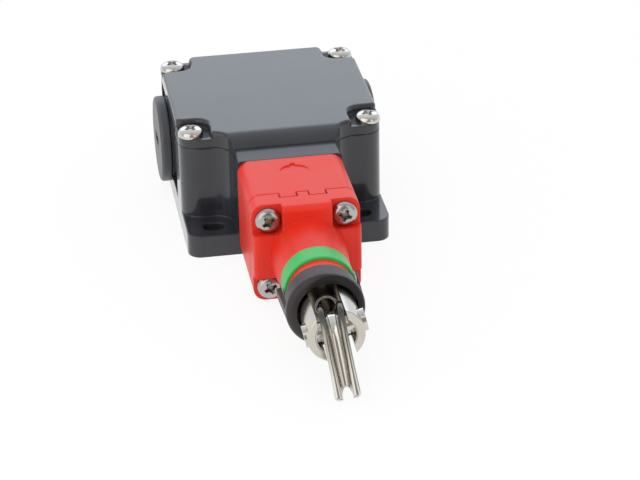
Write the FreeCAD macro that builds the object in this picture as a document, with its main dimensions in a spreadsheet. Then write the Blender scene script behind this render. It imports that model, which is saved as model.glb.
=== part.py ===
import FreeCAD, Part
import math
import os
import Sketcher

# Rope pull switch: a die-cast housing with a screwed lid, a red two-part head on its neck, and a sprung pull
# rod whose fork carries a rope thimble. Millimetres, +Z up, head towards -Y. The origin is on the mounting face,
# in the middle of the four mounting slots.

# Driving dimensions. A reach is a distance from the origin towards the head, along -Y.
DIMENSIONS = {
    # housing
    "body_width": 68.6,
    "body_depth": 65.0,
    "body_corner": 6.5,
    "seam_height": 33.3,
    "seam_edge": 0.4,
    "side_wall": 4.3,
    "end_wall": 4.0,
    "floor_thickness": 3.5,
    "axis_height": 18.0,
    "neck_blend": 7.0,
    "neck_step": 40.0,
    "neck_reach": 49.5,
    "neck_corner": 1.4,
    "passage_radius": 6.0,
    "ear_height": 7.8,
    "ear_reach": 46.8,
    "ear_corner": 4.5,
    "slot_width": 5.3,
    "slot_length": 7.3,
    "slot_span_x": 50.0,
    "slot_span_y": 80.0,
    "relief_depth": 1.2,
    "relief_front": 16.0,
    "relief_rear": 27.0,
    "boss_length_x": 6.0,
    "boss_length_y": 7.0,
    # cable entries
    "entry_place": 11.6,
    "entry_height": 17.6,
    "entry_radius": 9.3,
    "entry_boss_radius": 14.5,
    "entry_boss_proud": 1.2,
    # lid
    "lid_height": 39.0,
    "lid_edge": 1.3,
    "lid_roof": 2.7,
    "roll_start": 32.6,
    "roll_radius": 9.75,
    "seat_height": 36.5,
    "recess_side": 23.8,
    "recess_end": 21.0,
    "recess_corner": 4.5,
    "recess_lip": 2.0,
    "gasket_gap": 0.8,
    "gasket_width": 1.6,
    "gasket_height": 1.2,
    # blanking plugs
    "plug_radius": 15.0,
    "plug_flange": 3.5,
    "plug_thread": 5.0,
    "plug_play": 0.05,
    "plug_edge": 1.2,
    "seal_thickness": 0.3,
    "seal_radius": 13.5,
    "coin_slot_length": 9.0,
    "coin_slot_width": 4.0,
    "coin_slot_depth": 2.0,
    # M4 fasteners
    "screw_head_radius": 4.2,
    "screw_head_height": 3.1,
    "screw_rim": 0.5,
    "screw_crown": 0.62,
    "screw_radius": 2.0,
    "screw_hole": 2.2,
    "tapped_hole": 2.05,
    "thread_depth": 11.0,
    "thread_play": 0.05,
    "lid_screw_span_x": 60.2,
    "lid_screw_span_y": 54.9,
    "lid_screw_length": 12.0,
    "head_screw_span": 24.6,
    "head_screw_rise": 12.3,
    "head_screw_drop": 11.4,
    "head_screw_length": 40.0,
    # head
    "head_width": 35.0,
    "head_drop": 16.6,
    "head_corner": 4.0,
    "head_split": 74.6,
    "split_edge": 0.3,
    "tab_reach": 77.4,
    "tab_outer": 7.5,
    "tab_inner": 2.0,
    "tab_thickness": 3.0,
    "tab_play": 0.25,
    "head_bore": 12.6,
    "head_rear_wall": 4.0,
    "head_front_reach": 85.4,
    "pocket_floor": 81.9,
    "pocket_side": 8.0,
    "pocket_drop": 7.1,
    "pocket_corner": 2.5,
    "face_edge": 1.8,
    "mark_radius": 4.7,
    "mark_reach": 59.4,
    "mark_slope": 4.5,
    "mark_sink": 0.12,
    "mark_notch_width": 1.7,
    "mark_notch_length": 1.0,
    "mark_notch_depth": 0.5,
    "head_seal_radius": 11.0,
    "head_seal_width": 2.0,
    "head_seal_depth": 1.0,
    # snout and what sits in it
    "snout_root": 12.6,
    "snout_tip": 11.15,
    "ring_rear": 101.2,
    "ring_front": 108.2,
    "ring_radius": 11.4,
    "ring_chamfer": 0.3,
    "spigot_radius": 10.4,
    "spigot_reach": 115.0,
    "chamber_radius": 8.9,
    "bush_rear": 107.0,
    "bush_radius": 7.5,
    "wiper_rear": 113.0,
    "run_clearance": 0.03,
    # pull rod
    "rod_radius": 5.0,
    "rod_rear": 58.5,
    "nut_rear": 60.0,
    "cup_rear": 64.0,
    "cup_front": 66.5,
    "cup_lip": 68.5,
    "cup_radius": 8.6,
    "cup_inner": 7.95,
    "nut_radius": 8.0,
    "spring_radius": 7.1,
    "spring_wire": 1.3,
    "spring_turns": 8.0,
    "plunger_radius": 5.5,
    "fork_tilt": 12.5,
    "fork_rear": 117.0,
    "fork_reach": 138.0,
    "fork_radius": 8.9,
    "fork_bore": 6.0,
    "fork_bore_rear": 121.0,
    "fork_slot": 9.2,
    "fork_slot_rear": 119.0,
    "fork_drill": 3.0,
    "fork_drill_rear": 113.0,
    "fork_edge": 0.6,
    # indicator collar
    "collar_rear": 113.8,
    "collar_front": 122.4,
    "collar_rear_radius": 11.8,
    "collar_radius": 12.35,
    "collar_web": 116.5,
    "collar_skirt": 10.7,
    "collar_line": 119.5,
    "collar_line_radius": 11.9,
    "collar_dish": 9.6,
    "collar_dish_floor": 9.3,
    "collar_dish_rear": 118.6,
    "arm_tip": 105.5,
    "collar_lip": 1.8,
    "collar_offset": 0.5,
    "collar_tilt": 8.0,
    "arm_inner": 11.95,
    "arm_outer": 13.0,
    "arm_width": 4.6,
    "arm_tip_width": 4.2,
    # fork pin
    "pin_reach": 132.6,
    "pin_radius": 3.0,
    "pin_flat": 7.9,
    "pin_flat_radius": 4.0,
    "pin_head_radius": 3.6,
    "pin_head_left": 1.6,
    "pin_head_right": 2.1,
    # thimble
    "eye_radius": 6.5,
    "strip_thickness": 0.9,
    "groove_radius": 2.9,
    "flange_radius": 10.2,
    "leg_angle": 26.5,
    "eye_offset": 2.6,
    "tip_length": 19.7,
    "leg_gap": 0.6,
    "thimble_droop": 43.0,
    "thimble_skew": -5.0,
    # contact block
    "block_width": 44.0,
    "block_front": 22.0,
    "block_rear": 14.0,
    "block_top": 25.5,
    "trough_side": 17.0,
    "trough_floor": 19.0,
    "channel_side": 6.0,
    "channel_floor": 12.0,
    "slide_play": 0.3,
    "slide_top": 21.5,
    "slide_front": 20.0,
    "slide_rear": 12.0,
    "bridge_place": 5.0,
    "bridge_reach": 15.0,
    "bridge_width": 4.0,
    "bridge_floor": 20.2,
    "bridge_thickness": 0.8,
    "contact_inner": 9.0,
    "contact_thickness": 0.8,
    "contact_width": 5.0,
    "terminal_radius": 2.6,
    "terminal_head": 2.0,
    "terminal_thread": 1.5,
    "terminal_place": 19.5,
    "terminal_depth": 6.0,
    "block_screw_place": 13.5,
    "block_screw_radius": 1.55,
    "block_thread": 2.5,
    # earth terminal
    "earth_x": 20.7,
    "earth_y": 18.5,
    "earth_pillar": 4.0,
    "earth_height": 9.0,
    "earth_screw_length": 4.5,
}

doc = FreeCAD.newDocument("rope_pull_switch")
sheet = doc.addObject("Spreadsheet::Sheet", "dims")
for row, (alias, number) in enumerate(DIMENSIONS.items(), start=1):
    sheet.set(f"A{row}", alias)
    sheet.set(f"B{row}", str(number))
    sheet.setAlias(f"B{row}", alias)
doc.recompute()


class Size:
    """A length of the sheet, or one worked out from such lengths: its number now, and its expression."""

    def __init__(self, number, text):
        self.number = number
        self.text = text

    def join(self, other, sign, number):
        return Size(number, f"({self.text} {sign} {size(other).text})")

    def __add__(self, other):
        return self.join(other, "+", self.number + size(other).number)

    def __sub__(self, other):
        return self.join(other, "-", self.number - size(other).number)

    def __mul__(self, other):
        return self.join(other, "*", self.number * size(other).number)

    def __truediv__(self, other):
        return self.join(other, "/", self.number / size(other).number)

    def __neg__(self):
        return Size(-self.number, f"(-{self.text})")

    def root(self):
        return Size(math.sqrt(self.number), f"sqrt({self.text})")

    def cosine(self):
        return Size(math.cos(math.radians(self.number)), f"cos({self.text} * 1 deg)")


def size(value):
    if isinstance(value, Size):
        return value
    return Size(float(value), repr(float(value)))


class Dims:
    """The sheet's cells by name, as Size values."""

    def __getattr__(self, alias):
        return Size(float(sheet.get(alias)), f"dims.{alias}")


d = Dims()
ZERO = size(0)
BOTH = (-1, 1)
OVERSHOOT = 2.0
SUB_PARTS = []


def bind(obj, prop, value):
    obj.setExpression(prop, size(value).text)


def keep(obj, label):
    obj.Label = label
    SUB_PARTS.append(obj)
    return obj


def place(obj, x=ZERO, y=ZERO, z=ZERO):
    for axis, value in zip("xyz", (x, y, z)):
        bind(obj, f"Placement.Base.{axis}", value)
    return obj


# Bodies, sketches and features
def new_body(name):
    return keep(doc.addObject("PartDesign::Body", name), name)


def new_sketch(body, plane, name, offset=ZERO):
    """A sketch on one of the body's origin planes, moved along the plane's normal: +Z, -Y or +X."""
    support = next(f for f in body.Origin.OriginFeatures if f.Role == f"{plane}_Plane")
    sketch = body.newObject("Sketcher::SketchObject", name)
    sketch.AttachmentSupport = [(support, "")]
    sketch.MapMode = "FlatFace"
    bind(sketch, "AttachmentOffset.Base.z", offset)
    return sketch


def pin_one(sketch, geometry, point, kind, value):
    index = sketch.addConstraint(Sketcher.Constraint(kind, -1, 1, geometry, point, size(value).number))
    sketch.renameConstraint(index, f"c{index}")
    bind(sketch, f"Constraints.c{index}", value)


def pin_point(sketch, geometry, point, x, y):
    pin_one(sketch, geometry, point, "DistanceX", x)
    pin_one(sketch, geometry, point, "DistanceY", y)


def vector(point):
    return FreeCAD.Vector(size(point[0]).number, size(point[1]).number, 0)


def draw_loop(sketch, points):
    """A closed outline. A corner is (x, y), or (x, y, cx, cy, turn) where an arc about (cx, cy) starts;
    turn is 1 for an arc drawn anticlockwise and -1 for one drawn clockwise."""
    count = len(points)
    ends = []
    for i, corner in enumerate(points):
        start, finish = vector(corner), vector(points[(i + 1) % count])
        if len(corner) == 2:
            ends.append((sketch.addGeometry(Part.LineSegment(start, finish), False), 1, 2))
            continue
        centre = vector(corner[2:4])
        first, last = (start, finish) if corner[4] > 0 else (finish, start)
        angles = [math.atan2(point.y - centre.y, point.x - centre.x) for point in (first, last)]
        circle = Part.Circle(centre, FreeCAD.Vector(0, 0, 1), (start - centre).Length)
        arc = sketch.addGeometry(Part.ArcOfCircle(circle, *angles), False)
        ends.append((arc, 1, 2) if corner[4] > 0 else (arc, 2, 1))
    for i, corner in enumerate(points):
        geometry, head, tail = ends[i]
        after, after_head, _ = ends[(i + 1) % count]
        sketch.addConstraint(Sketcher.Constraint("Coincident", geometry, tail, after, after_head))
        pin_point(sketch, geometry, head, corner[0], corner[1])
        if len(corner) > 2:
            chord = vector(points[(i + 1) % count]) - vector(corner)
            flat = abs(chord.x) > abs(chord.y)
            pin_one(sketch, geometry, 3, "DistanceY" if flat else "DistanceX", corner[3 if flat else 2])


def sign(value):
    return (value > 1e-9) - (value < -1e-9)


def rounded(points, radius, chosen=None):
    """A square-cornered outline with an arc at each corner, or at the chosen corners only."""
    outline = []
    for i, (x, y) in enumerate(points):
        if chosen is not None and i not in chosen:
            outline.append((x, y))
            continue
        before = vector((x, y)) - vector(points[i - 1])
        after = vector(points[(i + 1) % len(points)]) - vector((x, y))
        in_x, in_y, out_x, out_y = sign(before.x), sign(before.y), sign(after.x), sign(after.y)
        start_x, start_y = size(x) - size(radius) * in_x, size(y) - size(radius) * in_y
        centre_x, centre_y = start_x + size(radius) * out_x, start_y + size(radius) * out_y
        outline.append((start_x, start_y, centre_x, centre_y, in_x * out_y - in_y * out_x))
        outline.append((size(x) + size(radius) * out_x, size(y) + size(radius) * out_y))
    return outline


def square(x0, x1, y0, y1):
    return [(x0, y0), (x1, y0), (x1, y1), (x0, y1)]


def draw_slot(sketch, x, y, length, width):
    """A round-ended slot that runs along x."""
    reach, half = (size(length) - width) / 2, size(width) / 2
    draw_loop(sketch, [
        (x - reach, y - half), (x + reach, y - half, x + reach, y, 1),
        (x + reach, y + half), (x - reach, y + half, x - reach, y, 1),
    ])


def draw_box(sketch, x0, x1, y0, y1):
    draw_loop(sketch, square(x0, x1, y0, y1))


def draw_circle(sketch, x, y, radius):
    geometry = sketch.addGeometry(Part.Circle(vector((x, y)), FreeCAD.Vector(0, 0, 1), size(radius).number), False)
    index = sketch.addConstraint(Sketcher.Constraint("Radius", geometry, size(radius).number))
    sketch.renameConstraint(index, f"c{index}")
    bind(sketch, f"Constraints.c{index}", radius)
    pin_point(sketch, geometry, 3, x, y)


def add_feature(body, kind, name, sketch, length, reverse=False, symmetric=False):
    feature = body.newObject(f"PartDesign::{kind}", name)
    feature.Profile = sketch
    feature.Reversed = reverse
    if symmetric:
        feature.SideType = "Symmetric"
    if length is None:
        feature.Type = "ThroughAll"
    else:
        bind(feature, "Length", length)
    body.Tip = feature
    doc.recompute()
    return feature


def pad(body, name, sketch, length, reverse=False, symmetric=False):
    before = body.Shape.Volume if not body.Shape.isNull() else 0.0
    feature = add_feature(body, "Pad", name, sketch, length, reverse, symmetric)
    if body.Shape.Volume <= before:
        raise RuntimeError(f"{name} adds nothing")
    return feature


def pocket(body, name, sketch, length=None, reverse=False, symmetric=False):
    before = body.Shape.Volume
    feature = add_feature(body, "Pocket", name, sketch, length, reverse, symmetric)
    if body.Shape.Volume >= before:
        raise RuntimeError(f"{name} cuts nothing")
    return feature


def revolve(body, name, sketch, kind="Revolution"):
    """Turns a half section on the XY plane about the Y axis."""
    feature = body.newObject(f"PartDesign::{kind}", name)
    feature.Profile = sketch
    feature.ReferenceAxis = (sketch, ["V_Axis"])
    feature.Angle = 360
    body.Tip = feature
    doc.recompute()
    return feature


def turned_body(name, half_section):
    """A body of revolution on the rod axis, from (radius, reach) corners."""
    body = new_body(name)
    sketch = new_sketch(body, "XY", f"{name}_section")
    draw_loop(sketch, [(radius, -reach) for radius, reach in half_section])
    revolve(body, f"{name}_turned", sketch)
    return place(body, z=d.axis_height)


def ease_edges(body, kind, name, width, chosen):
    """Rounds or chamfers the edges that a test picks out."""
    base = body.Tip
    edges = [f"Edge{i}" for i, edge in enumerate(base.Shape.Edges, start=1) if chosen(edge)]
    if not edges:
        raise RuntimeError(f"{name} finds no edge")
    feature = body.newObject(f"PartDesign::{kind}", name)
    feature.Base = (base, edges)
    bind(feature, "Radius" if kind == "Fillet" else "Size", width)
    body.Tip = feature
    doc.recompute()
    if feature.Shape.isNull() or not feature.Shape.isValid():
        raise RuntimeError(f"{name} fails")
    return feature


def round_edges(body, name, radius, chosen):
    return ease_edges(body, "Fillet", name, radius, chosen)


def near(a, b):
    return abs(a - size(b).number) < 0.01


def along(edge, axis):
    if len(edge.Vertexes) != 2:
        return False
    step = edge.Vertexes[1].Point - edge.Vertexes[0].Point
    return step.Length > 0.01 and abs(abs(step[axis]) - step.Length) < 1e-6


def upright_at(x, y):
    """Picks upright edges by their distances from the middle planes; y keeps its sign."""
    return lambda e: along(e, 2) and near(abs(e.CenterOfMass.x), x) and near(e.CenterOfMass.y, y)


# Simple solids
def cylinder(name, radius, height, x=ZERO, y=ZERO, z=ZERO, turn=None):
    obj = doc.addObject("Part::Cylinder", name)
    bind(obj, "Radius", radius)
    bind(obj, "Height", height)
    if turn:
        obj.Placement.Rotation = FreeCAD.Rotation(*turn)
    return place(obj, x, y, z)


def box(name, x0, x1, y0, y1, z0, z1):
    obj = doc.addObject("Part::Box", name)
    for prop, low, high in (("Length", x0, x1), ("Width", y0, y1), ("Height", z0, z1)):
        bind(obj, prop, size(high) - low)
    return place(obj, size(x0), size(y0), size(z0))


def cut(name, base, tool):
    obj = doc.addObject("Part::Cut", name)
    obj.Base = base
    obj.Tool = tool
    return obj


def fuse(name, *shapes):
    obj = doc.addObject("Part::MultiFuse", name)
    obj.Shapes = list(shapes)
    return obj


def group(label, solids):
    obj = doc.addObject("Part::Compound", label)
    obj.Links = solids
    return keep(obj, label)


UP_X = FreeCAD.Vector(1, 0, 0)
UP_Y = FreeCAD.Vector(0, 1, 0)
TO_FRONT = (UP_X, 90)
TO_RIGHT = (UP_Y, 90)


def pan_screw(name, length, x, y, z, turn=None, head=d.screw_head_radius, height=d.screw_head_height,
              shank=d.screw_radius):
    """A pan-head screw seated at a point: its head stands up from the seat, its shank goes down."""
    rim = height * d.screw_rim
    crown = doc.addObject("Part::Cone", f"{name}_crown")
    bind(crown, "Radius1", head)
    bind(crown, "Radius2", head * d.screw_crown)
    bind(crown, "Height", height - rim)
    place(crown, z=rim)
    disc = cylinder(f"{name}_disc", head, rim)
    screw = fuse(name, disc, crown, cylinder(f"{name}_shank", shank, length, z=-length))
    if turn:
        screw.Placement.Rotation = FreeCAD.Rotation(*turn)
    return place(screw, x, y, z)


HALF_WIDTH = d.body_width / 2
HALF_DEPTH = d.body_depth / 2
HALF_HEAD = d.head_width / 2
HEAD_SCREWS = [(d.head_screw_span / 2 * x, z) for x in BOTH for z in (-d.head_screw_drop, d.head_screw_rise)]
LID_SCREW_X = d.lid_screw_span_x / 2
LID_SCREW_Y = d.lid_screw_span_y / 2
ENTRY_FACE = HALF_WIDTH - d.relief_depth + d.entry_boss_proud
BLOCK_MIDDLE = (d.block_rear - d.block_front) / 2
BRIDGE_PLACES = (BLOCK_MIDDLE - d.bridge_place, BLOCK_MIDDLE + d.bridge_place)
HALF_BRIDGE = d.bridge_width / 2


def plan_outline(sketch):
    """The housing's plan above the ears, shared by body and lid: a block with a tongue over the neck's root."""
    draw_loop(sketch, [
        (-HALF_WIDTH, HALF_DEPTH), (-HALF_WIDTH, -HALF_DEPTH), (-HALF_HEAD, -HALF_DEPTH),
        (-HALF_HEAD, -d.neck_step), (HALF_HEAD, -d.neck_step), (HALF_HEAD, -HALF_DEPTH),
        (HALF_WIDTH, -HALF_DEPTH), (HALF_WIDTH, HALF_DEPTH),
    ])


def round_plan(body, name):
    for side, y in (("front", -HALF_DEPTH), ("rear", HALF_DEPTH)):
        round_edges(body, f"{name}_{side}_corners", d.body_corner, upright_at(HALF_WIDTH, y))
    round_edges(body, f"{name}_neck_blends", d.neck_blend, upright_at(HALF_HEAD, -HALF_DEPTH))


CAVITY_SIDE = HALF_WIDTH - d.side_wall
CAVITY_END = HALF_DEPTH - d.end_wall


def cavity_outline(sketch, spread):
    """The cross-shaped inside of the housing, clear of the corner bosses, widened by a spread."""
    side = CAVITY_SIDE + spread
    end = CAVITY_END + spread
    inner_side = CAVITY_SIDE - d.boss_length_x + spread
    inner_end = CAVITY_END - d.boss_length_y + spread
    draw_loop(sketch, [
        (-inner_side, end), (-inner_side, inner_end), (-side, inner_end), (-side, -inner_end),
        (-inner_side, -inner_end), (-inner_side, -end), (inner_side, -end), (inner_side, -inner_end),
        (side, -inner_end), (side, inner_end), (inner_side, inner_end), (inner_side, end),
    ])


# Housing body: a die-cast block with four ears, a neck for the head, three cable entries and an open top
housing = new_body("housing_body")
sketch = new_sketch(housing, "XY", "housing_plan")
plan_outline(sketch)
pad(housing, "housing_block", sketch, d.seam_height)
round_plan(housing, "housing")
round_edges(housing, "housing_seam", d.seam_edge, lambda e: near(e.BoundBox.ZMin, d.seam_height))
sketch = new_sketch(housing, "XZ", "neck_section", d.neck_step)
neck_section = square(-HALF_HEAD, HALF_HEAD, d.axis_height - d.head_drop, d.axis_height + HALF_HEAD)
draw_loop(sketch, rounded(neck_section, d.neck_corner))
pad(housing, "neck", sketch, d.neck_reach - d.neck_step)
sketch = new_sketch(housing, "XY", "ear_plan")
draw_box(sketch, -HALF_WIDTH, HALF_WIDTH, -d.ear_reach, -HALF_DEPTH + d.body_corner)
for side in BOTH:
    draw_box(sketch, HALF_HEAD * side, HALF_WIDTH * side, HALF_DEPTH - d.body_corner, d.ear_reach)
pad(housing, "ears", sketch, d.ear_height)
for name, x, y in (("front", HALF_WIDTH, -d.ear_reach), ("rear", HALF_WIDTH, d.ear_reach),
                   ("inner", HALF_HEAD, d.ear_reach)):
    round_edges(housing, f"{name}_ear_corners", d.ear_corner, upright_at(x, y))
sketch = new_sketch(housing, "XZ", "side_relief_section", d.relief_front)
for side in BOTH:
    draw_box(sketch, (HALF_WIDTH - d.relief_depth) * side, (HALF_WIDTH + OVERSHOOT) * side, d.ear_height,
             d.seam_height + OVERSHOOT)
pocket(housing, "side_reliefs", sketch, d.relief_front + d.relief_rear)
sketch = new_sketch(housing, "YZ", "entry_boss_circle")
draw_circle(sketch, d.entry_place, d.entry_height, d.entry_boss_radius)
pad(housing, "entry_bosses", sketch, ENTRY_FACE * 2, symmetric=True)
sketch = new_sketch(housing, "XZ", "rear_boss_circle", -HALF_DEPTH - d.entry_boss_proud)
draw_circle(sketch, ZERO, d.entry_height, d.entry_boss_radius)
pad(housing, "rear_entry_boss", sketch, d.entry_boss_proud + d.end_wall)
sketch = new_sketch(housing, "XY", "cavity_plan", d.seam_height)
cavity_outline(sketch, ZERO)
pocket(housing, "cavity", sketch, d.seam_height - d.floor_thickness)
sketch = new_sketch(housing, "YZ", "entry_circle")
draw_circle(sketch, d.entry_place, d.entry_height, d.entry_radius)
pocket(housing, "side_entries", sketch, (ENTRY_FACE + OVERSHOOT) * 2, symmetric=True)
sketch = new_sketch(housing, "XZ", "rear_entry_circle", ZERO)
draw_circle(sketch, ZERO, d.entry_height, d.entry_radius)
pocket(housing, "rear_entry", sketch, HALF_DEPTH + d.entry_boss_proud + OVERSHOOT)
sketch = new_sketch(housing, "XZ", "passage_circle", d.neck_reach)
draw_circle(sketch, ZERO, d.axis_height, d.passage_radius)
pocket(housing, "passage", sketch, d.neck_reach - CAVITY_END + OVERSHOOT)
sketch = new_sketch(housing, "XZ", "head_thread_circles", d.neck_reach)
for x, z in HEAD_SCREWS:
    draw_circle(sketch, x, d.axis_height + z, d.tapped_hole)
pocket(housing, "head_threads", sketch, d.thread_depth)
sketch = new_sketch(housing, "XY", "slot_plan", d.ear_height)
for x in BOTH:
    for y in BOTH:
        draw_slot(sketch, d.slot_span_x / 2 * x, d.slot_span_y / 2 * y, d.slot_length, d.slot_width)
pocket(housing, "mounting_slots", sketch)
sketch = new_sketch(housing, "XY", "lid_thread_circles", d.seam_height)
for x in BOTH:
    for y in BOTH:
        draw_circle(sketch, LID_SCREW_X * x, LID_SCREW_Y * y, d.tapped_hole)
pocket(housing, "lid_threads", sketch, d.thread_depth)
sketch = new_sketch(housing, "XY", "pillar_circle")
draw_circle(sketch, d.earth_x, d.earth_y, d.earth_pillar)
pad(housing, "earth_pillar", sketch, d.earth_height)
sketch = new_sketch(housing, "XY", "earth_thread_circle", d.earth_height)
draw_circle(sketch, d.earth_x, d.earth_y, d.tapped_hole)
pocket(housing, "earth_thread", sketch, d.earth_screw_length)
sketch = new_sketch(housing, "XY", "block_thread_circles", d.floor_thickness)
for side in BOTH:
    draw_circle(sketch, d.terminal_place * side, BLOCK_MIDDLE + d.block_screw_place * side, d.block_screw_radius)
pocket(housing, "block_threads", sketch, d.block_thread)

# Lid: a shallow die-cast cover with four open corner seats for its screws and a rolled front over the neck
lid = new_body("lid")
sketch = new_sketch(lid, "XY", "lid_plan", d.seam_height)
plan_outline(sketch)
pad(lid, "lid_block", sketch, d.lid_height - d.seam_height)
round_plan(lid, "lid")
round_edges(lid, "lid_seam", d.seam_edge, lambda e: near(e.BoundBox.ZMax, d.seam_height))
sketch = new_sketch(lid, "XY", "seat_plan", d.lid_height)
for x in BOTH:
    for y in BOTH:
        seat = square(d.recess_side * x, (HALF_WIDTH + OVERSHOOT) * x,
                      d.recess_end * y, (HALF_DEPTH + OVERSHOOT) * y)
        draw_loop(sketch, rounded(seat, d.recess_corner, (0,)))
pocket(lid, "screw_seats", sketch, d.lid_height - d.seat_height)
round_edges(lid, "seat_lips", d.recess_lip, lambda e: along(e, 2) and near(e.BoundBox.ZMin, d.seat_height) and (
    near(abs(e.CenterOfMass.x), d.recess_side) and abs(e.CenterOfMass.y) > CAVITY_END.number
    or near(abs(e.CenterOfMass.y), d.recess_end) and abs(e.CenterOfMass.x) > CAVITY_SIDE.number))
round_edges(lid, "lid_rim", d.lid_edge, lambda e: near(e.BoundBox.ZMin, d.lid_height))
roll_run = d.neck_step - d.roll_start
roll_centre = d.lid_height - d.roll_radius
roll_end = roll_centre + (d.roll_radius * d.roll_radius - roll_run * roll_run).root()
sketch = new_sketch(lid, "YZ", "roll_section")
draw_loop(sketch, [
    (-d.roll_start, d.lid_height, -d.roll_start, roll_centre, 1), (-d.neck_step, roll_end),
    (-d.neck_step - OVERSHOOT, roll_end), (-d.neck_step - OVERSHOOT, d.lid_height + OVERSHOOT),
    (-d.roll_start, d.lid_height + OVERSHOOT),
])
pocket(lid, "front_roll", sketch, d.body_width, symmetric=True)
sketch = new_sketch(lid, "XY", "lid_hole_circles", d.lid_height)
for x in BOTH:
    for y in BOTH:
        draw_circle(sketch, LID_SCREW_X * x, LID_SCREW_Y * y, d.screw_hole)
pocket(lid, "lid_holes", sketch)
sketch = new_sketch(lid, "XY", "lid_hollow_plan", d.seam_height)
cavity_outline(sketch, -d.gasket_gap)
pocket(lid, "lid_hollow", sketch, d.lid_height - d.lid_roof - d.seam_height, reverse=True)
sketch = new_sketch(lid, "XY", "gasket_groove_plan", d.seam_height)
cavity_outline(sketch, d.gasket_gap)
cavity_outline(sketch, d.gasket_gap + d.gasket_width)
pocket(lid, "gasket_groove", sketch, d.gasket_height, reverse=True)

# Lid gasket: a moulded loop of square section in the lid's groove
gasket = new_body("lid_gasket")
sketch = new_sketch(gasket, "XY", "gasket_plan", d.seam_height)
cavity_outline(sketch, d.gasket_gap)
cavity_outline(sketch, d.gasket_gap + d.gasket_width)
pad(gasket, "gasket_loop", sketch, d.gasket_height)

# Lid screws: four pan heads on the corner seats
group("lid_screws", [
    pan_screw(f"lid_screw_{i}", d.lid_screw_length, LID_SCREW_X * x, LID_SCREW_Y * y, d.seat_height)
    for i, (x, y) in enumerate((x, y) for x in BOTH for y in BOTH)
])


# Blanking plugs: a flanged disc with a coin slot, screwed into each side entry on a flat seal
def blanking_plug(name, side):
    seat = ENTRY_FACE + d.seal_thickness
    outer = seat + d.plug_flange
    body = new_body(name)
    sketch = new_sketch(body, "YZ", f"{name}_flange_circle", seat if side > 0 else -outer)
    draw_circle(sketch, d.entry_place, d.entry_height, d.plug_radius)
    pad(body, f"{name}_flange", sketch, d.plug_flange)
    round_edges(body, f"{name}_rim", d.plug_edge, lambda e: near(e.CenterOfMass.x, outer * side))
    sketch = new_sketch(body, "YZ", f"{name}_thread_circle", seat - d.plug_thread if side > 0 else -seat)
    draw_circle(sketch, d.entry_place, d.entry_height, d.entry_radius - d.plug_play)
    pad(body, f"{name}_thread", sketch, d.plug_thread)
    sketch = new_sketch(body, "YZ", f"{name}_slot_outline", outer * side)
    half_width, half_length = d.coin_slot_width / 2, d.coin_slot_length / 2
    draw_box(sketch, d.entry_place - half_length, d.entry_place + half_length,
             d.entry_height - half_width, d.entry_height + half_width)
    pocket(body, f"{name}_slot", sketch, d.coin_slot_depth, reverse=side < 0)


blanking_plug("conduit_plug_left", -1)
blanking_plug("conduit_plug_right", 1)

# Plug seals: a flat ring between each plug's flange and the entry boss
seals = []
for name, start in (("left", -ENTRY_FACE - d.seal_thickness), ("right", ENTRY_FACE)):
    where = (start, d.entry_place, d.entry_height, TO_RIGHT)
    disc = cylinder(f"{name}_seal_disc", d.seal_radius, d.seal_thickness, *where)
    hole = cylinder(f"{name}_seal_hole", d.entry_radius, d.seal_thickness, *where)
    seals.append(cut(f"{name}_seal", disc, hole))
group("plug_seals", seals)

# Earth screw: a pan head on the pillar of the housing floor
keep(pan_screw("earth_screw", d.earth_screw_length, d.earth_x, d.earth_y, d.earth_height), "earth_screw")

# Contact block: a moulded case with a guide channel for the slide and a trough for the contacts
case = new_body("contact_block_case")
HALF_BLOCK = d.block_width / 2
sketch = new_sketch(case, "XY", "case_plan", d.floor_thickness)
draw_box(sketch, -HALF_BLOCK, HALF_BLOCK, -d.block_front, d.block_rear)
pad(case, "case_block", sketch, d.block_top - d.floor_thickness)
sketch = new_sketch(case, "XZ", "trough_section", d.block_front)
draw_loop(sketch, [
    (-d.trough_side, d.block_top + OVERSHOOT), (-d.trough_side, d.trough_floor),
    (-d.channel_side, d.trough_floor), (-d.channel_side, d.channel_floor),
    (d.channel_side, d.channel_floor), (d.channel_side, d.trough_floor),
    (d.trough_side, d.trough_floor), (d.trough_side, d.block_top + OVERSHOOT),
])
pocket(case, "trough", sketch)
sketch = new_sketch(case, "XY", "terminal_circles", d.block_top)
for side in BOTH:
    for place_y in BRIDGE_PLACES:
        draw_circle(sketch, d.terminal_place * side, place_y, d.terminal_thread)
pocket(case, "terminal_threads", sketch, d.terminal_depth)
sketch = new_sketch(case, "XY", "block_hole_circles", d.block_top)
for side in BOTH:
    draw_circle(sketch, d.terminal_place * side, BLOCK_MIDDLE + d.block_screw_place * side, d.block_screw_radius)
pocket(case, "block_holes", sketch)

# Block screws: two through the case into the housing floor
group("block_screws", [
    pan_screw(f"block_screw_{i}", d.block_top - d.floor_thickness + d.block_thread, d.terminal_place * side,
              BLOCK_MIDDLE + d.block_screw_place * side, d.block_top, head=d.terminal_radius,
              height=d.terminal_head, shank=d.block_screw_radius - d.thread_play)
    for i, side in enumerate(BOTH)
])

# Terminal screws: four clamp screws in the case walls
group("terminal_screws", [
    pan_screw(f"terminal_screw_{i}", d.terminal_depth, d.terminal_place * side, place_y, d.block_top,
              head=d.terminal_radius, height=d.terminal_head, shank=d.terminal_thread - d.thread_play)
    for i, (side, place_y) in enumerate((side, y) for side in BOTH for y in BRIDGE_PLACES)
])

# Fixed contacts: four plated strips on the trough floor
HALF_CONTACT = d.contact_width / 2
contacts = []
for i, (side, place_y) in enumerate((side, y) for side in BOTH for y in BRIDGE_PLACES):
    inner, outer = (d.contact_inner, d.trough_side) if side > 0 else (-d.trough_side, -d.contact_inner)
    contacts.append(box(f"fixed_contact_{i}", inner, outer, place_y - HALF_CONTACT, place_y + HALF_CONTACT,
                        d.trough_floor, d.trough_floor + d.contact_thickness))
group("fixed_contacts", contacts)

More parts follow.
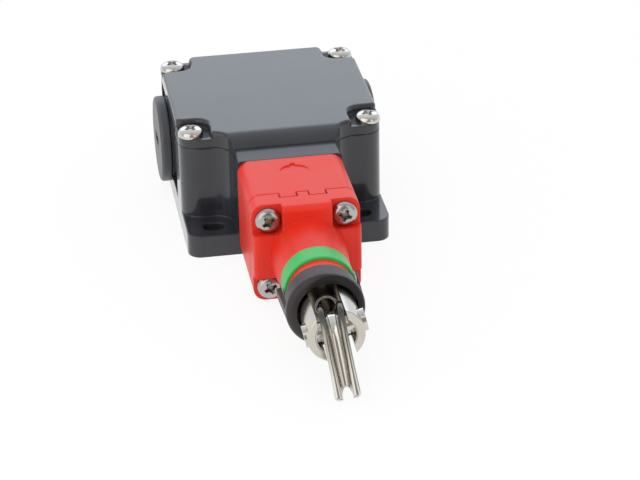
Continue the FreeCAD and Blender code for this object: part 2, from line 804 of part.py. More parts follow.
# Contact slide: a moulded bar that runs in the case channel and carries both bridges through slots
slide = new_body("contact_slide")
HALF_SLIDE = d.channel_side - d.slide_play
slide_floor = d.channel_floor + d.slide_play
sketch = new_sketch(slide, "XZ", "slide_section", -d.slide_rear)
draw_box(sketch, -HALF_SLIDE, HALF_SLIDE, slide_floor, d.slide_top)
pad(slide, "slide_bar", sketch, d.slide_front + d.slide_rear)
sketch = new_sketch(slide, "YZ", "bridge_slots_outline")
for place_y in BRIDGE_PLACES:
    draw_box(sketch, place_y - HALF_BRIDGE, place_y + HALF_BRIDGE,
             d.bridge_floor, d.bridge_floor + d.bridge_thickness)
pocket(slide, "bridge_slots", sketch, d.block_width, symmetric=True)

# Contact bridges: two flat strips through the slide, above the fixed contacts
group("contact_bridges", [
    box(f"contact_bridge_{i}", -d.bridge_reach, d.bridge_reach, place_y - HALF_BRIDGE, place_y + HALF_BRIDGE,
        d.bridge_floor, d.bridge_floor + d.bridge_thickness)
    for i, place_y in enumerate(BRIDGE_PLACES)
])


# Head: two red mouldings of one square section, screwed to the neck; sketched about the rod axis
HEAD_SECTION = rounded(square(-HALF_HEAD, HALF_HEAD, -d.head_drop, HALF_HEAD), d.head_corner)


def draw_head_holes(sketch):
    for x, z in HEAD_SCREWS:
        draw_circle(sketch, x, z, d.screw_hole)


def draw_tabs(sketch, play):
    depth = d.tab_thickness + play
    for side in BOTH:
        inner, outer = (d.tab_inner - play) * side, (d.tab_outer + play) * side
        draw_box(sketch, inner, outer, HALF_HEAD - depth, HALF_HEAD)
        draw_box(sketch, inner, outer, -d.head_drop, depth - d.head_drop)


# Rear head: the cup over the spring, with tabs that key into the front head and a thumb mark on top
head_rear = place(new_body("head_rear"), z=d.axis_height)
sketch = new_sketch(head_rear, "XZ", "head_rear_section", d.neck_reach)
draw_loop(sketch, HEAD_SECTION)
pad(head_rear, "head_rear_block", sketch, d.head_split - d.neck_reach)
sketch = new_sketch(head_rear, "XZ", "tab_section", d.head_split)
draw_tabs(sketch, ZERO)
pad(head_rear, "head_tabs", sketch, d.tab_reach - d.head_split)
ease_edges(head_rear, "Chamfer", "rear_split_edge", d.split_edge, lambda e: near(e.BoundBox.YMax, -d.head_split) and (
    near(e.BoundBox.ZMin, HALF_HEAD) or near(e.BoundBox.ZMax, -d.head_drop)
    or abs(e.CenterOfMass.x) > d.tab_outer.number + d.tab_play.number))
sketch = new_sketch(head_rear, "XZ", "head_bore_circle", d.head_split)
draw_circle(sketch, ZERO, ZERO, d.head_bore)
pocket(head_rear, "head_bore", sketch, d.head_split - d.neck_reach - d.head_rear_wall)
sketch = new_sketch(head_rear, "XZ", "head_rear_holes_plan", d.head_split)
draw_head_holes(sketch)
draw_circle(sketch, ZERO, ZERO, d.passage_radius)
pocket(head_rear, "head_rear_holes", sketch)
sketch = new_sketch(head_rear, "XZ", "head_seal_groove_plan", d.neck_reach)
draw_circle(sketch, ZERO, ZERO, d.head_seal_radius)
draw_circle(sketch, ZERO, ZERO, d.head_seal_radius - d.head_seal_width)
pocket(head_rear, "head_seal_groove", sketch, d.head_seal_depth, reverse=True)
sketch = new_sketch(head_rear, "XY", "thumb_mark_circle", HALF_HEAD - d.mark_sink)
sketch.AttachmentOffset.Rotation = FreeCAD.Rotation(FreeCAD.Vector(-1, 0, 0), d.mark_slope.number)
bind(sketch, "AttachmentOffset.Rotation.Angle", d.mark_slope)
bind(sketch, "AttachmentOffset.Base.y", -d.mark_reach)
draw_circle(sketch, ZERO, ZERO, d.mark_radius)
pocket(head_rear, "thumb_mark", sketch, d.mark_radius, reverse=True)
sketch = new_sketch(head_rear, "XY", "mark_notch_plan", HALF_HEAD)
mark_top = d.mark_radius - d.mark_reach
draw_box(sketch, -d.mark_notch_width / 2, d.mark_notch_width / 2, mark_top - d.mark_notch_length,
         mark_top + d.mark_notch_length)
pocket(head_rear, "mark_notch", sketch, d.mark_notch_depth)

# Front head: the flange with four open screw corners and the snout that guides the rod
head_front = place(new_body("head_front"), z=d.axis_height)
sketch = new_sketch(head_front, "XZ", "head_front_section", d.head_split)
draw_loop(sketch, HEAD_SECTION)
pad(head_front, "head_front_block", sketch, d.head_front_reach - d.head_split)
round_edges(head_front, "head_face_edge", d.face_edge, lambda e: near(e.BoundBox.YMax, -d.head_front_reach))
ease_edges(head_front, "Chamfer", "front_split_edge", d.split_edge, lambda e: near(e.BoundBox.YMin, -d.head_split))
sketch = new_sketch(head_front, "XZ", "tab_recess_section", d.head_split)
draw_tabs(sketch, d.tab_play)
pocket(head_front, "tab_recesses", sketch, d.tab_reach - d.head_split + d.tab_play, reverse=True)
sketch = new_sketch(head_front, "XZ", "screw_corner_section", d.head_front_reach)
edge = HALF_HEAD + OVERSHOOT
for side in BOTH:
    for inner, outer in ((d.pocket_side, edge), (-d.pocket_drop, -edge)):
        corner = square(d.pocket_side * side, edge * side, inner, outer)
        draw_loop(sketch, rounded(corner, d.pocket_corner, (0,)))
pocket(head_front, "screw_corners", sketch, d.head_front_reach - d.pocket_floor)
sketch = new_sketch(head_front, "XZ", "head_front_holes_plan", d.head_front_reach)
draw_head_holes(sketch)
pocket(head_front, "head_front_holes", sketch)
sketch = new_sketch(head_front, "XY", "snout_section")
draw_loop(sketch, [
    (ZERO, -d.head_split), (d.chamber_radius, -d.head_split), (d.snout_root, -d.head_front_reach),
    (d.snout_tip, -d.ring_rear), (d.spigot_radius, -d.ring_rear), (d.spigot_radius, -d.spigot_reach),
    (ZERO, -d.spigot_reach),
])
revolve(head_front, "snout", sketch)
sketch = new_sketch(head_front, "XY", "snout_bore_section")
draw_loop(sketch, [
    (ZERO, -d.head_split + OVERSHOOT), (d.chamber_radius, -d.head_split + OVERSHOOT),
    (d.chamber_radius, -d.bush_rear), (d.bush_radius, -d.bush_rear),
    (d.bush_radius, -d.spigot_reach - OVERSHOOT), (ZERO, -d.spigot_reach - OVERSHOOT),
])
revolve(head_front, "snout_bore", sketch, "Groove")

# Head gasket: a flat ring in the rear head's groove against the neck
turned_body("head_gasket", [
    (d.head_seal_radius - d.head_seal_width, d.neck_reach), (d.head_seal_radius, d.neck_reach),
    (d.head_seal_radius, d.neck_reach + d.head_seal_depth),
    (d.head_seal_radius - d.head_seal_width, d.neck_reach + d.head_seal_depth),
])

# Head screws: four long pan heads through both mouldings into the neck
group("head_screws", [
    pan_screw(f"head_screw_{i}", d.head_screw_length, x, -d.pocket_floor, d.axis_height + z, TO_FRONT)
    for i, (x, z) in enumerate(HEAD_SCREWS)
])

# Position ring: a green band on the spigot, behind the collar when the rope is slack
turned_body("green_ring", [
    (d.spigot_radius, d.ring_rear), (d.ring_radius, d.ring_rear), (d.ring_radius, d.ring_front - d.ring_chamfer),
    (d.ring_radius - d.ring_chamfer, d.ring_front), (d.spigot_radius, d.ring_front),
])

# Guide bush and wiper: pressed into the spigot around the rod
BUSH_BORE = d.rod_radius + d.run_clearance
turned_body("guide_bush", [
    (BUSH_BORE, d.bush_rear), (d.bush_radius, d.bush_rear),
    (d.bush_radius, d.wiper_rear), (BUSH_BORE, d.wiper_rear),
])
turned_body("rod_wiper", [
    (BUSH_BORE, d.wiper_rear), (d.bush_radius, d.wiper_rear),
    (d.bush_radius, d.spigot_reach), (BUSH_BORE, d.spigot_reach),
])

# Return spring: a square-wire coil between the cup and the bush
spring = place(new_body("return_spring"), z=d.axis_height)
sketch = new_sketch(spring, "XY", "spring_wire_section")
half_wire = d.spring_wire / 2
draw_box(sketch, d.spring_radius - half_wire, d.spring_radius + half_wire,
         -d.cup_front - d.spring_wire, -d.cup_front)
coil = spring.newObject("PartDesign::AdditiveHelix", "spring_coil")
coil.Profile = sketch
coil.ReferenceAxis = (sketch, ["V_Axis"])
coil.Mode = "height-turns-angle"
coil.Reversed = True
bind(coil, "Height", d.bush_rear - d.cup_front - d.spring_wire)
bind(coil, "Turns", d.spring_turns)
spring.Tip = coil

# Spring cup, plunger and lock nut: what the rod draws forward, and the nut that holds it on
turned_body("spring_cup", [
    (BUSH_BORE, d.cup_rear), (d.cup_radius, d.cup_rear), (d.cup_radius, d.cup_lip), (d.cup_inner, d.cup_lip),
    (d.cup_inner, d.cup_front), (BUSH_BORE, d.cup_front),
])
turned_body("transmission_plunger", [
    (ZERO, d.slide_front + d.slide_play), (d.plunger_radius, d.slide_front + d.slide_play),
    (d.plunger_radius, d.rod_rear - d.slide_play), (ZERO, d.rod_rear - d.slide_play),
])
nut = place(new_body("lock_nut"), z=d.axis_height)
sketch = new_sketch(nut, "XZ", "nut_section", d.nut_rear)
half_nut = d.nut_radius * size(30).cosine()
draw_loop(sketch, [
    (d.nut_radius, ZERO), (d.nut_radius / 2, half_nut), (-d.nut_radius / 2, half_nut),
    (-d.nut_radius, ZERO), (-d.nut_radius / 2, -half_nut), (d.nut_radius / 2, -half_nut),
])
draw_circle(sketch, ZERO, ZERO, BUSH_BORE)
pad(nut, "nut_hexagon", sketch, d.cup_rear - d.slide_play - d.nut_rear)


# Fork group: pieces that turn together about the rod axis, standing tilted by the swivel angle
def tilt(body, angle=d.fork_tilt):
    bind(body, "Placement", Size(0, (
        f"placement(vector(0; 0; dims.axis_height); rotation(vector(0; -1; 0); {angle.text}))"
    )))
    return body


# Pull rod: a turned shank that ends in a slotted fork with two spot-faced cheeks
rod = tilt(new_body("pull_rod"))
sketch = new_sketch(rod, "XY", "rod_section")
draw_loop(sketch, [
    (ZERO, -d.rod_rear), (d.rod_radius, -d.rod_rear), (d.rod_radius, -d.fork_rear), (d.fork_radius, -d.fork_rear),
    (d.fork_radius, -d.fork_reach), (d.fork_bore, -d.fork_reach), (d.fork_bore, -d.fork_bore_rear),
    (ZERO, -d.fork_bore_rear),
])
revolve(rod, "rod_turned", sketch)
round_edges(rod, "fork_mouth", d.fork_edge, lambda e: near(e.CenterOfMass.y, -d.fork_reach))
sketch = new_sketch(rod, "XY", "fork_slot_outline")
draw_box(sketch, -d.fork_slot / 2, d.fork_slot / 2, -d.fork_reach - OVERSHOOT, -d.fork_slot_rear)
pocket(rod, "fork_slot", sketch, d.fork_radius * 4, symmetric=True)
sketch = new_sketch(rod, "XZ", "fork_drill_circle", d.fork_slot_rear)
draw_circle(sketch, ZERO, ZERO, d.fork_drill)
pocket(rod, "fork_drill", sketch, d.fork_slot_rear - d.fork_drill_rear)
sketch = new_sketch(rod, "YZ", "pin_hole_circle")
draw_circle(sketch, -d.pin_reach, ZERO, d.pin_radius)
pocket(rod, "pin_hole", sketch, d.fork_radius * 4, symmetric=True)
for name, side in (("left", -1), ("right", 1)):
    sketch = new_sketch(rod, "YZ", f"{name}_spot_circle", d.pin_flat * side)
    draw_circle(sketch, -d.pin_reach, ZERO, d.pin_flat_radius)
    pocket(rod, f"{name}_spot_face", sketch, OVERSHOOT, reverse=side > 0)

# Indicator collar: a ring that sits off-centre on the fork, with a rounded front lip and two pointers that reach
# back over the green ring. Its outside is turned about its own middle, its bore about the rod axis.
collar = tilt(new_body("indicator_collar"), d.collar_tilt)
sketch = new_sketch(collar, "YZ", "pointer_outline")
draw_loop(sketch, [
    (-d.collar_line, -d.arm_width / 2), (-d.collar_rear, -d.arm_width / 2), (-d.arm_tip, -d.arm_tip_width / 2),
    (-d.arm_tip, d.arm_tip_width / 2), (-d.collar_rear, d.arm_width / 2), (-d.collar_line, d.arm_width / 2),
])
pad(collar, "pointers", sketch, (d.arm_outer + d.collar_offset) * 2, symmetric=True)
rear, front = -d.arm_tip + OVERSHOOT, -d.collar_front - OVERSHOOT
sketch = new_sketch(collar, "XY", "pointer_outside_section")
bind(sketch, "AttachmentOffset.Base.x", -d.collar_offset)
draw_loop(sketch, [
    (d.collar_radius, -d.collar_line), (d.collar_radius, front), (d.arm_outer * 3, front), (d.arm_outer * 3, rear),
    (d.arm_outer, rear), (d.arm_outer, -d.arm_tip),
])
revolve(collar, "pointer_outside", sketch, "Groove")
sketch = new_sketch(collar, "XY", "collar_section")
bind(sketch, "AttachmentOffset.Base.x", -d.collar_offset)
draw_loop(sketch, [
    (ZERO, -d.collar_rear), (d.collar_rear_radius, -d.collar_rear), (d.collar_line_radius, -d.collar_line),
    (d.collar_radius, -d.collar_line), (d.collar_radius, d.collar_lip - d.collar_front,
                                        d.collar_radius - d.collar_lip, d.collar_lip - d.collar_front, -1),
    (d.collar_radius - d.collar_lip, -d.collar_front), (ZERO, -d.collar_front),
])
revolve(collar, "collar_ring", sketch)
sketch = new_sketch(collar, "XY", "collar_inside_section")
draw_loop(sketch, [
    (ZERO, rear), (d.arm_inner, rear), (d.arm_inner, -d.collar_rear), (d.collar_skirt, -d.collar_rear),
    (d.collar_skirt, -d.collar_web), (d.fork_radius, -d.collar_web), (d.fork_radius, -d.collar_dish_rear),
    (d.collar_dish_floor, -d.collar_dish_rear), (d.collar_dish, -d.collar_front), (d.collar_dish, front),
    (ZERO, front),
])
revolve(collar, "collar_inside", sketch, "Groove")

# Fork pin: a plain pin with a flat head on one cheek and a thicker riveted one on the other
pin = tilt(new_body("fork_pin"))
sketch = new_sketch(pin, "YZ", "pin_circle")
draw_circle(sketch, -d.pin_reach, ZERO, d.pin_radius)
pad(pin, "pin_shank", sketch, d.pin_flat * 2, symmetric=True)
for name, side, thickness in (("left", -1, d.pin_head_left), ("right", 1, d.pin_head_right)):
    sketch = new_sketch(pin, "YZ", f"{name}_pin_head_circle", d.pin_flat * side)
    draw_circle(sketch, -d.pin_reach, ZERO, d.pin_head_radius)
    pad(pin, f"{name}_pin_head", sketch, thickness, reverse=side < 0)

# Thimble: a channel-section strip bent to a teardrop eye, hung on the pin. The upper half is turned about the
# eye's centre and drawn out along the leg, then mirrored.
half_eye = doc.addObject("PartDesign::Body", "thimble_half")


def channel_sketch(name, turn):
    """The strip's curved section on a plane through the eye's centre, turned up from the rear."""
    sketch = new_sketch(half_eye, "XY", name)
    sketch.AttachmentOffset.Rotation = FreeCAD.Rotation(UP_X, size(turn).number)
    bind(sketch, "AttachmentOffset.Rotation.Angle", turn)
    bind(sketch, "AttachmentOffset.Base.y", -d.eye_offset)
    outer = d.groove_radius + d.strip_thickness
    centre = d.eye_radius + outer
    rise = centre - d.flange_radius
    outer_x = (outer * outer - rise * rise).root()
    inner_x = (d.groove_radius * d.groove_radius - rise * rise).root()
    draw_loop(sketch, [
        (-outer_x, d.flange_radius, ZERO, centre, 1), (outer_x, d.flange_radius),
        (inner_x, d.flange_radius, ZERO, centre, -1), (-inner_x, d.flange_radius),
    ])
    return sketch


leg_turn = d.leg_angle + 90
sketch = channel_sketch("eye_section", ZERO)
eye = half_eye.newObject("PartDesign::Revolution", "eye_bend")
eye.Profile = sketch
eye.ReferenceAxis = (sketch, ["H_Axis"])
bind(eye, "Angle", leg_turn)
half_eye.Tip = eye
pad(half_eye, "eye_leg", channel_sketch("leg_section", leg_turn), d.tip_length)
sketch = new_sketch(half_eye, "YZ", "leg_end_outline")
far = d.tip_length * 2
leg_end, leg_start = -d.eye_offset - d.tip_length, -d.eye_offset - d.eye_radius
draw_loop(sketch, [
    (leg_start, -far), (leg_start, d.leg_gap / 2), (leg_end, d.leg_gap / 2),
    (leg_end, far), (-far, far), (-far, -far),
])
pocket(half_eye, "leg_end", sketch, far, symmetric=True)
other_half = doc.addObject("Part::Mirroring", "thimble_mirror")
other_half.Source = half_eye
other_half.Normal = FreeCAD.Vector(0, 0, 1)
thimble = keep(fuse("thimble", half_eye, other_half), "thimble")
bind(thimble, "Placement", Size(0, (
    "placement(vector(0; 0 - dims.pin_reach; dims.axis_height); rotation(vector(0; -1; 0); dims.fork_tilt)"
    " * rotation(vector(1; 0; 0); dims.thimble_droop) * rotation(vector(0; 0; 1); dims.thimble_skew))"
)))

# Check every object and write one file per sub-part
doc.recompute()
for obj in doc.Objects:
    if "Invalid" in obj.State or "Error" in obj.State:
        raise RuntimeError(f"{obj.Name} is in error")
os.makedirs("parts", exist_ok=True)
for part in SUB_PARTS:
    if part.Shape.isNull() or not part.Shape.isValid():
        raise RuntimeError(f"{part.Label} has no valid shape")
    part.Shape.exportStep(f"parts/{part.Label}.step")
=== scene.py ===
import math

import bmesh
import bpy
from mathutils import Matrix, Vector


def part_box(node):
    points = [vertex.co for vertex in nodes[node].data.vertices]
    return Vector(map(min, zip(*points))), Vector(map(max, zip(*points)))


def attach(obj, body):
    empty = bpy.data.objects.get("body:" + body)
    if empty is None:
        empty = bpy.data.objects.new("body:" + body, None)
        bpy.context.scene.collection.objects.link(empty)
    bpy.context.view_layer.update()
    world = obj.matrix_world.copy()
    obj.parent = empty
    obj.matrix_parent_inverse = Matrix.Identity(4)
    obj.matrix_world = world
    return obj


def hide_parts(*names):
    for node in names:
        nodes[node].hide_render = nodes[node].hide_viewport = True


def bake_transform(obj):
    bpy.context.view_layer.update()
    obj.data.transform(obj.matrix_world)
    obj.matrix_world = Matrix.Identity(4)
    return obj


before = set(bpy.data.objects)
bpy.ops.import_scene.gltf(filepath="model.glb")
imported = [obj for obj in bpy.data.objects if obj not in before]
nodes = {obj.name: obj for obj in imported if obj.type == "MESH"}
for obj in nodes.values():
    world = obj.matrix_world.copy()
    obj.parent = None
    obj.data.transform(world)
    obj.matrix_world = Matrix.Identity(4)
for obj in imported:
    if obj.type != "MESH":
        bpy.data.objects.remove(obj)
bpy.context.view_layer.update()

# Housing body: an aluminium die casting with four mounting ears, powder-coated in glossy anthracite.
# The coat has a faint orange peel, rounds over every cast edge,
# and lies thinner on top of the neck and in the screw seats.
MM = 0.001
ALONG_ROD, UP = (0, 1, 0), (0, 0, 1)
MOTTLE_DARK, MOTTLE_LIGHT = 0.3, 0.7
EDGE_SAMPLES = 6
UNDER_LID, NECK_OUT, NECK_SIDE, NECK_TOP = -40.2 * MM, -40.8 * MM, 20 * MM, 26 * MM
SEAT_HEIGHT = 36.5 * MM
SEAT_CORNER, SEAT_REACH = (26 * MM, 27.5 * MM, SEAT_HEIGHT), 4 * MM
FULL_COAT, THIN_COAT, NECK_THINNING = 1.0, 0.1, 0.5


def shader(finish):
    return finish.node_tree.nodes["Principled BSDF"]


def new_finish(name, colour, roughness, metallic=0.0, sockets=()):
    """A material around one Principled shader, with its constants on the shader's own sockets."""
    finish = bpy.data.materials.new(name)
    finish.use_nodes = True
    constants = {"Base Color": (*colour, 1.0), "Roughness": roughness, "Metallic": metallic}
    constants.update(sockets)
    for socket, value in constants.items():
        shader(finish).inputs[socket].default_value = value
    return finish


def place_on(finish):
    """Where a point lies on the piece, in the part's own frame."""
    return finish.node_tree.nodes.new("ShaderNodeTexCoord").outputs["Object"]


def mottle(finish, grain, detail=3.0, stretch=(1.0, 1.0, 1.0), lean=0.0):
    """A noise over the piece whose blotches are about one grain long, in metres.

    lean turns it about the X axis, in degrees. A stretch under 1 along an axis draws it out that way.
    """
    tree = finish.node_tree
    turn = tree.nodes.new("ShaderNodeMapping")
    turn.inputs["Rotation"].default_value = (math.radians(lean), 0.0, 0.0)
    turn.inputs["Scale"].default_value = stretch
    noise = tree.nodes.new("ShaderNodeTexNoise")
    noise.inputs["Scale"].default_value = 1.0 / grain
    noise.inputs["Detail"].default_value = detail
    tree.links.new(place_on(finish), turn.inputs["Vector"])
    tree.links.new(turn.outputs["Vector"], noise.inputs["Vector"])
    return noise.outputs["Fac"]


def vary_colour(finish, mask, dark, light):
    """Runs a finish's colour from dark to light by a mottle."""
    tree = finish.node_tree
    ramp = tree.nodes.new("ShaderNodeValToRGB")
    for stop, place, colour in zip(ramp.color_ramp.elements, (MOTTLE_DARK, MOTTLE_LIGHT), (dark, light)):
        stop.position = place
        stop.color = (*colour, 1.0)
    tree.links.new(mask, ramp.inputs["Fac"])
    tree.links.new(ramp.outputs["Color"], shader(finish).inputs["Base Color"])


def rescale(tree, value, start=0.0, end=1.0, low=0.0, high=1.0):
    """Takes a value from between start and end to between low and high."""
    spread = tree.nodes.new("ShaderNodeMapRange")
    for name, limit in (("From Min", start), ("From Max", end), ("To Min", low), ("To Max", high)):
        spread.inputs[name].default_value = limit
    tree.links.new(value, spread.inputs["Value"])
    return spread.outputs["Result"]


def vary(finish, socket, mask, low, high, start=0.0, end=1.0):
    """Drives one of the shader's sockets from low to high while a mask goes from start to end."""
    tree = finish.node_tree
    tree.links.new(rescale(tree, mask, start, end, low, high), shader(finish).inputs[socket])


def vary_roughness(finish, mask, low, high):
    vary(finish, "Roughness", mask, low, high, MOTTLE_DARK, MOTTLE_LIGHT)


def raise_grain(finish, mask, height, edge):
    """Bumps a mask up by a height over edges that read as rounded by a radius, both in metres."""
    tree = finish.node_tree
    rounding = tree.nodes.new("ShaderNodeBevel")
    rounding.samples = EDGE_SAMPLES
    rounding.inputs["Radius"].default_value = edge
    bump = tree.nodes.new("ShaderNodeBump")
    bump.inputs["Distance"].default_value = height
    tree.links.new(mask, bump.inputs["Height"])
    tree.links.new(rounding.outputs["Normal"], bump.inputs["Normal"])
    for socket in ("Normal", "Coat Normal"):
        tree.links.new(bump.outputs["Normal"], shader(finish).inputs[socket])


def work_out(finish, operation, vector, other=(0.0, 0.0, 0.0), result="Vector"):
    """One step of vector arithmetic inside a finish."""
    tree = finish.node_tree
    step = tree.nodes.new("ShaderNodeVectorMath")
    step.operation = operation
    step.inputs[1].default_value = other
    tree.links.new(vector, step.inputs[0])
    return step.outputs[result]


def fade(finish, way, start, end, full=1.0):
    """A mask that runs from 0 to full between two places along a direction."""
    along = work_out(finish, "DOT_PRODUCT", place_on(finish), way, "Value")
    return rescale(finish.node_tree, along, start, end, 0.0, full)


def spots(finish, point, reach, full=0.8):
    """A mask within a reach of a point and of its mirror images left, right, front and rear.

    full is the share of the reach inside which the mask is at its full strength.
    """
    folded = work_out(finish, "ABSOLUTE", place_on(finish))
    apart = work_out(finish, "DISTANCE", folded, point, "Value")
    return rescale(finish.node_tree, apart, reach, full * reach)


def combine(finish, operation, one, other):
    """A mask from two: MULTIPLY keeps what lies in both, MAXIMUM what lies in either."""
    tree = finish.node_tree
    meet = tree.nodes.new("ShaderNodeMath")
    meet.operation = operation
    tree.links.new(one, meet.inputs[0])
    tree.links.new(other, meet.inputs[1])
    return meet.outputs["Value"]


def dress(finish, *names):
    """Gives CAD nodes a finish."""
    for name in names:
        nodes[name].data.materials.clear()
        nodes[name].data.materials.append(finish)


gloss = {"Coat Weight": FULL_COAT, "Coat Roughness": 0.11, "Specular IOR Level": 0.1}
anthracite = new_finish("anthracite_powder_coat", (0.024, 0.026, 0.032), 0.45, sockets=gloss)
clouds = mottle(anthracite, grain=14 * MM)
vary_colour(anthracite, clouds, (0.021, 0.023, 0.029), (0.027, 0.029, 0.036))
vary_roughness(anthracite, clouds, 0.4, 0.5)
peel = mottle(anthracite, grain=2.2 * MM, detail=2.0)
raise_grain(anthracite, peel, height=0.004 * MM, edge=0.8 * MM)
neck = combine(anthracite, "MULTIPLY", fade(anthracite, ALONG_ROD, UNDER_LID, NECK_OUT),
               fade(anthracite, UP, NECK_SIDE, NECK_TOP, NECK_THINNING))
seats = spots(anthracite, SEAT_CORNER, SEAT_REACH)
vary(anthracite, "Coat Weight", combine(anthracite, "MAXIMUM", neck, seats), FULL_COAT, THIN_COAT)
dress(anthracite, "housing_body")

# Contact block: a black thermoset case screwed to the housing floor, with a natural acetal slide,
# silver-plated brass contacts and steel clamp screws. All of it is closed in under the lid.


def mottled_finish(name, dark, light, roughness, grain, height, edge, metallic=0.0, sockets=(), **pattern):
    """A finish whose colour, roughness and bump all follow one mottle. pattern is the mottle's own."""
    middle = [(low + high) / 2 for low, high in zip(dark, light)]
    finish = new_finish(name, middle, sum(roughness) / 2, metallic, sockets)
    mask = mottle(finish, grain, **pattern)
    vary_colour(finish, mask, dark, light)
    vary_roughness(finish, mask, *roughness)
    raise_grain(finish, mask, height, edge)
    return finish


thermoset = mottled_finish("black_thermoset", dark=(0.016, 0.016, 0.018), light=(0.028, 0.028, 0.031),
                           roughness=(0.42, 0.58), grain=2.5 * MM, height=0.02 * MM, edge=0.3 * MM)
dress(thermoset, "contact_block_case")
acetal = mottled_finish("natural_acetal", dark=(0.68, 0.66, 0.58), light=(0.76, 0.74, 0.66),
                        roughness=(0.34, 0.46), grain=3 * MM, height=0.01 * MM, edge=0.3 * MM)
dress(acetal, "contact_slide")
silver = mottled_finish("silver_plated_brass", dark=(0.70, 0.64, 0.50), light=(0.88, 0.85, 0.78),
                        roughness=(0.2, 0.34), metallic=1.0,
                        grain=1.2 * MM, detail=4.0, height=0.004 * MM, edge=0.1 * MM)
dress(silver, "contact_bridges", "fixed_contacts")
nickel = mottled_finish("bright_nickel_plate", dark=(0.595, 0.575, 0.54), light=(0.655, 0.635, 0.60),
                        roughness=(0.15, 0.22), metallic=1.0,
                        grain=2.5 * MM, detail=4.0, height=0.001 * MM, edge=0.15 * MM)
dress(nickel, "block_screws", "terminal_screws", "earth_screw")

# Seals: moulded or die-cut nitrile rubber under the lid, the plugs and the head,
# and a wiper round the rod. Each lies squeezed in its own groove.
nitrile = mottled_finish("black_nitrile", dark=(0.011, 0.011, 0.012), light=(0.02, 0.02, 0.021),
                         roughness=(0.6, 0.8), grain=0.8 * MM, height=0.01 * MM, edge=0.2 * MM)
dress(nitrile, "lid_gasket", "plug_seals", "head_gasket", "rod_wiper")

# Lid: a shallow die-cast cover in the same coat as the housing, with four open corner seats.
# Its front edge is rolled down over the neck.
dress(anthracite, "lid")

# Lid screws: four M4 pan heads with cross recesses, cold-headed in steel and nickel-plated.
# One sits on each corner seat and draws the lid down on its gasket.
HEAD_HEIGHT, SHANK, CROWN, CROWN_CURVE, HEAD_SIDES = 2.75 * MM, 2 * MM, 3 * MM, 22 * MM, 40
HEAD_PROFILE = [(radius * MM, drop * MM)
                for radius, drop in ((3.6, 0.75), (4.0, 1.3), (4.2, 1.9), (4.25, 2.5))]
HEAD_PROFILE += [(4.2 * MM, HEAD_HEIGHT), (SHANK, HEAD_HEIGHT)]
WING, WING_REACH, CORE = 0.6 * MM, 2.15 * MM, 1.9 * MM
RECESS_DEPTH, RECESS_TAPER = 1.3 * MM, (0.6, 0.6, 1.0)
LID_SCREW_SIDE, LID_SCREW_END, LID_SCREW_LENGTH = 30.1 * MM, 27.45 * MM, 12 * MM
LID_SCREW_TWISTS = {(-1, -1): 35, (1, -1): 22, (-1, 1): 40, (1, 1): 52}


def all_of(bm):
    return bm.verts[:] + bm.edges[:] + bm.faces[:]


def only(kind, geometry):
    return [item for item in geometry if isinstance(item, kind)]


def pan_head(screws, seat, turn, twist, length):
    """Adds a pan-head screw with a cross recess to a bmesh, seated at a point.

    turn points its head, and twist turns its cross, in degrees.
    """
    bm = bmesh.new()
    bmesh.ops.create_circle(bm, cap_ends=True, segments=HEAD_SIDES, radius=CROWN)
    straight = Vector((1, 0, 0)), Vector((0, 1, 0))
    slanted = Vector((1, 1, 0)), Vector((1, -1, 0))
    for axes, distance in ((straight, WING), (straight, WING_REACH), (slanted, CORE / 2)):
        for axis in axes:
            for side in (-1, 1):
                bmesh.ops.bisect_plane(bm, geom=all_of(bm), plane_co=axis * distance * side, plane_no=axis)
    rim = [edge for edge in bm.edges if edge.is_boundary]
    cross = []
    for face in bm.faces:
        narrow, wide = sorted(abs(v) for v in face.calc_center_median().xy)
        if (narrow < WING and wide < WING_REACH) or narrow + wide < CORE:
            cross.append(face)
    for vert in bm.verts:
        vert.co.z = -vert.co.xy.length_squared / CROWN_CURVE
    for radius, drop in (*HEAD_PROFILE, (SHANK, HEAD_HEIGHT + length)):
        grown = bmesh.ops.extrude_edge_only(bm, edges=rim)["geom"]
        rim = [edge for edge in only(bmesh.types.BMEdge, grown) if edge.is_boundary]
        for vert in {v for edge in rim for v in edge.verts}:
            vert.co.xy = vert.co.xy.normalized() * radius
            vert.co.z = -drop
    bmesh.ops.contextual_create(bm, geom=rim)
    outer = set(bm.faces) - set(cross)
    floor = only(bmesh.types.BMVert, bmesh.ops.extrude_face_region(bm, geom=cross)["geom"])
    bmesh.ops.delete(bm, geom=cross, context="FACES")
    bmesh.ops.scale(bm, vec=RECESS_TAPER, verts=floor)
    bmesh.ops.translate(bm, vec=(0, 0, -RECESS_DEPTH), verts=floor)
    # These recess faces take the piece's second finish, which paints shade into the cross.
    for face in set(bm.faces) - outer:
        face.material_index = 1
    bmesh.ops.recalc_face_normals(bm, faces=bm.faces[:])
    place = Matrix.Translation(seat) @ turn @ Matrix.Rotation(math.radians(twist), 4, "Z")
    bmesh.ops.transform(bm, matrix=place @ Matrix.Translation((0, 0, HEAD_HEIGHT)), verts=bm.verts[:])
    mesh = bpy.data.meshes.new("screw")
    bm.to_mesh(mesh)
    bm.free()
    screws.from_mesh(mesh)
    bpy.data.meshes.remove(mesh)


def new_piece(name, bm, *finishes, smooth=30.0):
    """An object from a bmesh, in place and shaded smooth up to an angle in degrees."""
    mesh = bpy.data.meshes.new(name)
    bm.to_mesh(mesh)
    bm.free()
    for finish in finishes:
        mesh.materials.append(finish)
    mesh.shade_smooth()
    mesh.set_sharp_from_angle(angle=math.radians(smooth))
    piece = bpy.data.objects.new(name, mesh)
    bpy.context.scene.collection.objects.link(piece)
    return piece
